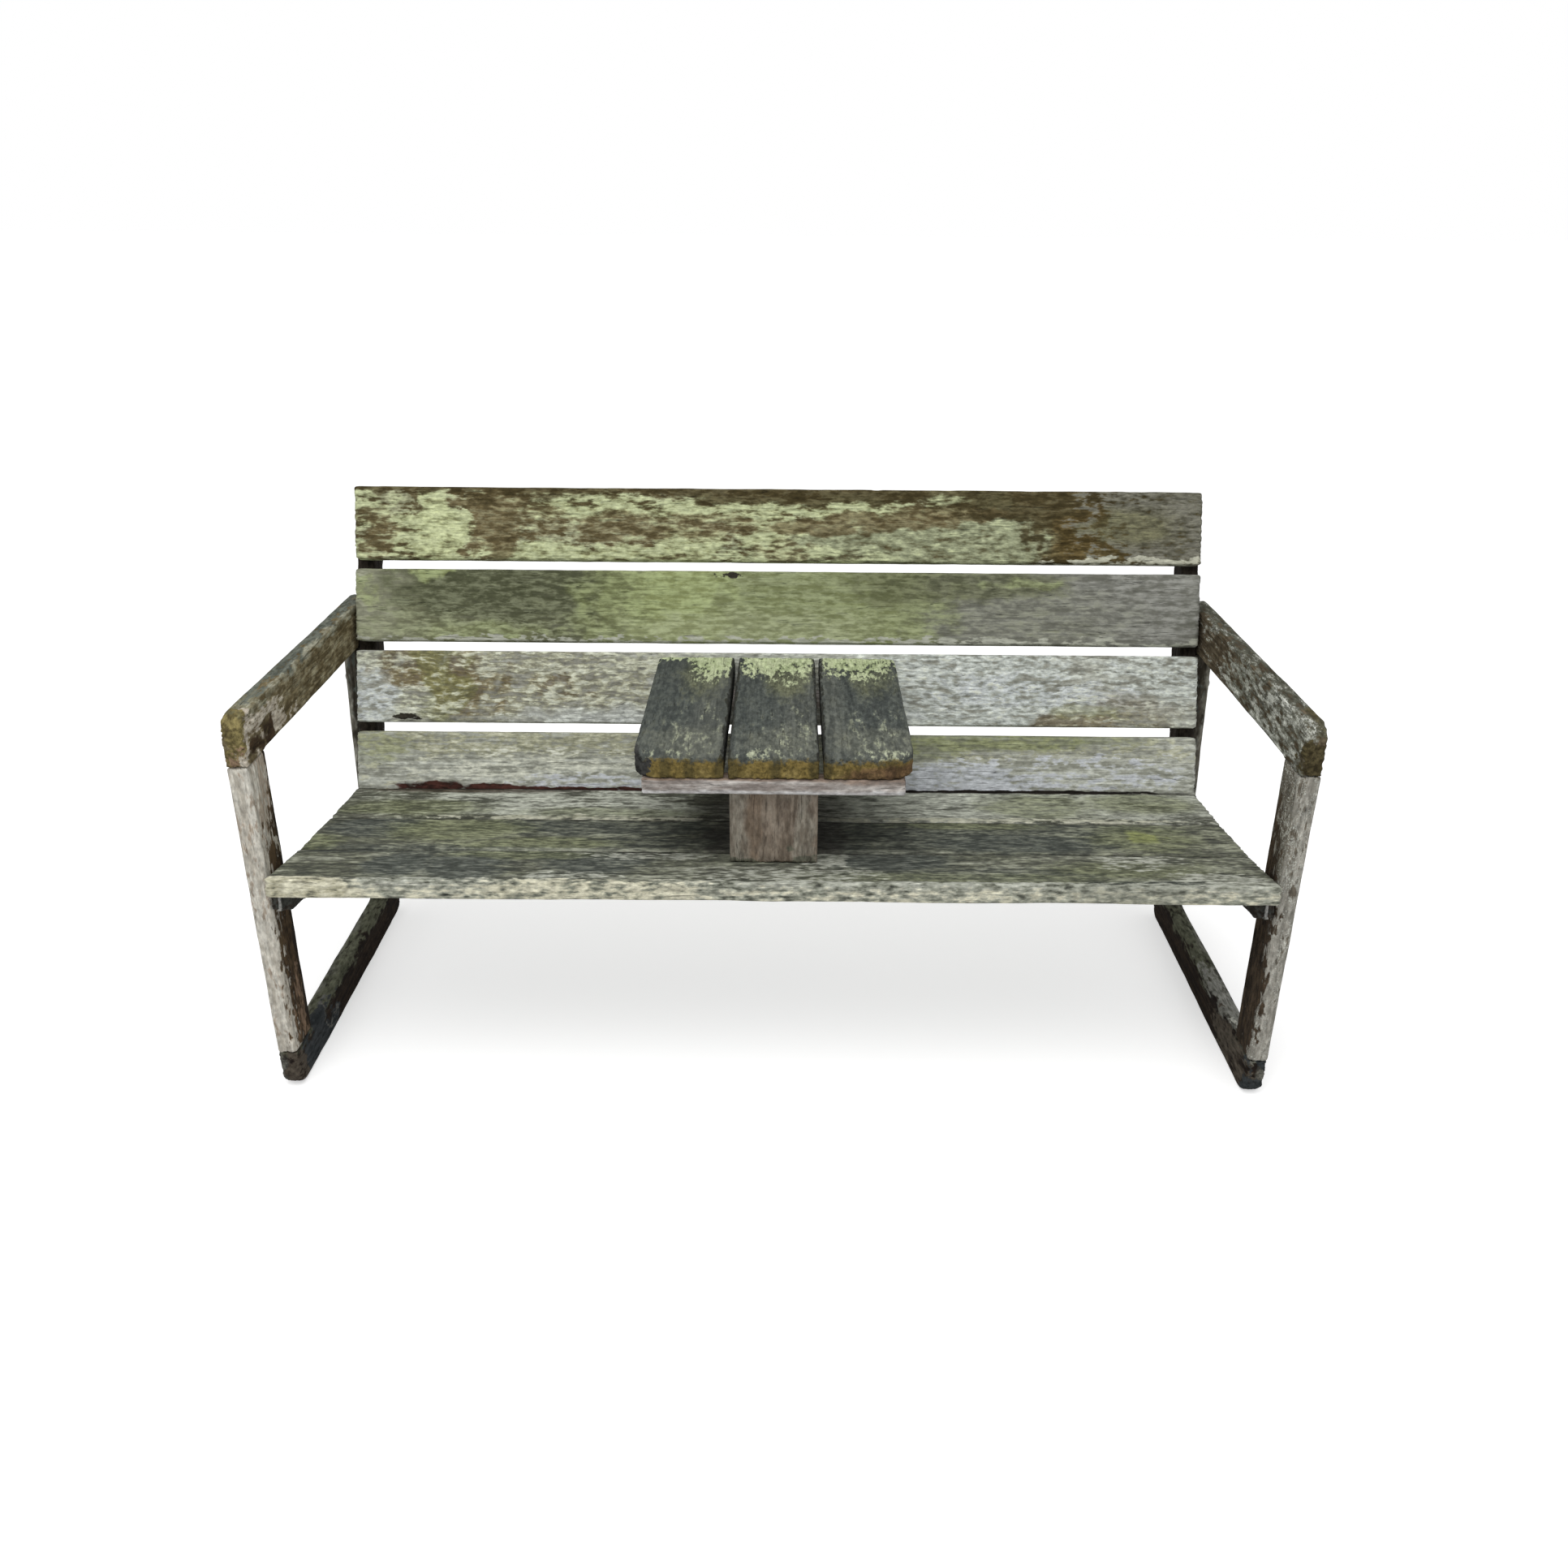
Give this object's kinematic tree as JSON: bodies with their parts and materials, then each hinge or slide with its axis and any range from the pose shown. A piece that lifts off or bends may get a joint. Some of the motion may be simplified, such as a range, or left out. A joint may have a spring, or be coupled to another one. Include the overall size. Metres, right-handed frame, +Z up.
{
  "type": "garden bench with table",
  "caption": "Slatted wooden garden bench with looped side frames as arms and legs and a small plank table fixed between the seats.",
  "frame": {"origin": "on the ground, under the middle of the bench in plan", "axes": "+X along the bench to the right of someone who faces its front, +Y from the front to the back, +Z up"},
  "size_m": [1.731, 0.7766, 0.9198],
  "materials": {
    "seat_wood": "weathered, unpainted, with lichen",
    "back_wood": "weathered, unpainted, with lichen",
    "frame_wood": "weathered, unpainted",
    "bearer_wood": "weathered, unpainted, damp",
    "table_wood": "weathered, unpainted, with lichen",
    "post_wood": "weathered, unpainted, sheltered",
    "bolt_steel": "dull galvanised",
    "screw_steel": "dull, lightly rusted"
  },
  "bodies": {
    "root": {"back_slat_bottom": "back_wood", "back_slat_lower": "back_wood", "back_slat_top": "back_wood", "back_slat_upper": "back_wood", "bearer_bolts": "bolt_steel", "bolt_nuts": "bolt_steel", "bolt_washers": "bolt_steel", "cleat_screws": "screw_steel", "left_armrest": "frame_wood", "left_back_upright": "bearer_wood", "left_front_leg": "frame_wood", "left_ground_rail": "frame_wood", "left_rear_leg": "frame_wood", "left_seat_bearer": "bearer_wood", "middle_seat_bearer": "bearer_wood", "post_screws": "screw_steel", "right_armrest": "frame_wood", "right_back_upright": "bearer_wood", "right_front_leg": "frame_wood", "right_ground_rail": "frame_wood", "right_rear_leg": "frame_wood", "right_seat_bearer": "bearer_wood", "seat_board_front": "seat_wood", "seat_board_middle": "seat_wood", "seat_board_rear": "seat_wood", "seat_screws": "screw_steel", "slat_screws": "screw_steel", "table_board_left": "table_wood", "table_board_middle": "table_wood", "table_board_right": "table_wood", "table_cleat_front": "post_wood", "table_cleat_rear": "post_wood", "table_post_front": "post_wood", "table_post_rear": "post_wood", "table_screws": "screw_steel", "upright_bolts": "bolt_steel"}
  },
  "joints": []
}
